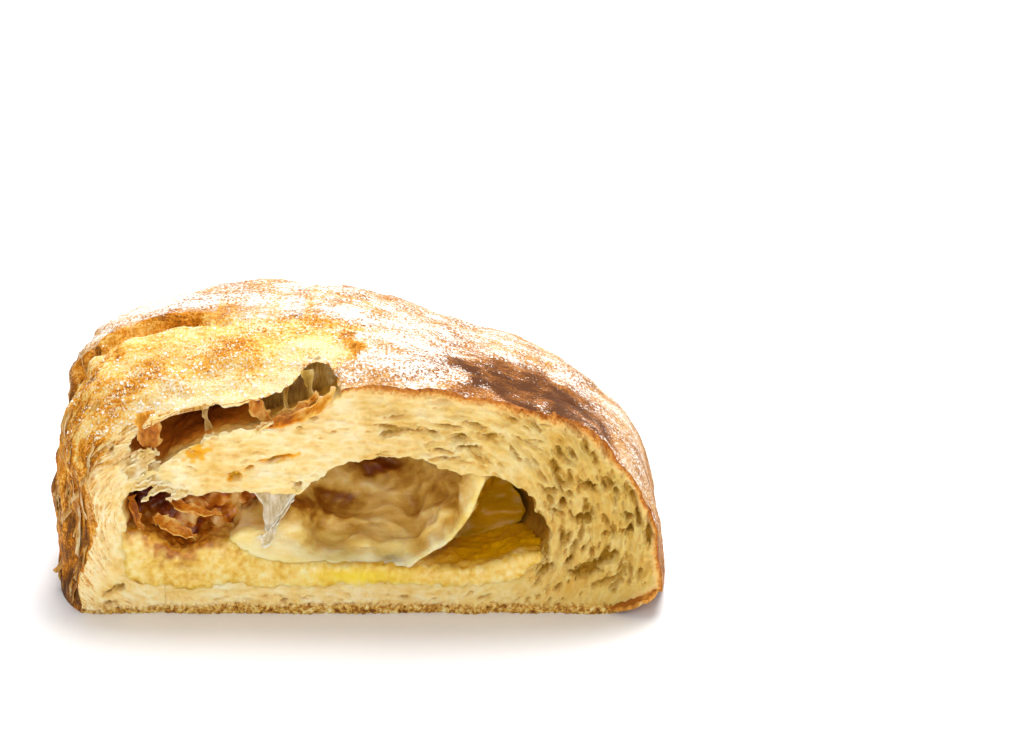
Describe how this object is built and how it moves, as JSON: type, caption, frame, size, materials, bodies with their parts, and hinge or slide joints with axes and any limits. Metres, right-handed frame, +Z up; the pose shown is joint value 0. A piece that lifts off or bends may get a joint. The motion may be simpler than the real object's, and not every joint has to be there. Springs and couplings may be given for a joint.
{
  "type": "turnover pastry",
  "caption": "Half of a domed turnover pastry, cut across, with a hollow crumb, a pocket of stretched cheese over custard, a browned lump of filling and a crusted base.",
  "frame": {"origin": "on the flat base, midway between the cut face and the rounded back", "axes": "+X along the cut face to the lower end of the dome, +Y from the cut face to the rounded back, +Z up"},
  "size_m": [0.1311, 0.0664, 0.0603],
  "materials": {
    "baked_dough": "dry baked crust over soft crumb",
    "custard": "moist and slightly grainy",
    "melted_cheese": "smooth and moist",
    "browned_filling": "wet glaze"
  },
  "bodies": {
    "root": {"pastry": "baked_dough", "custard": "custard", "cheese": "melted_cheese", "browned_filling": "browned_filling"}
  },
  "joints": []
}
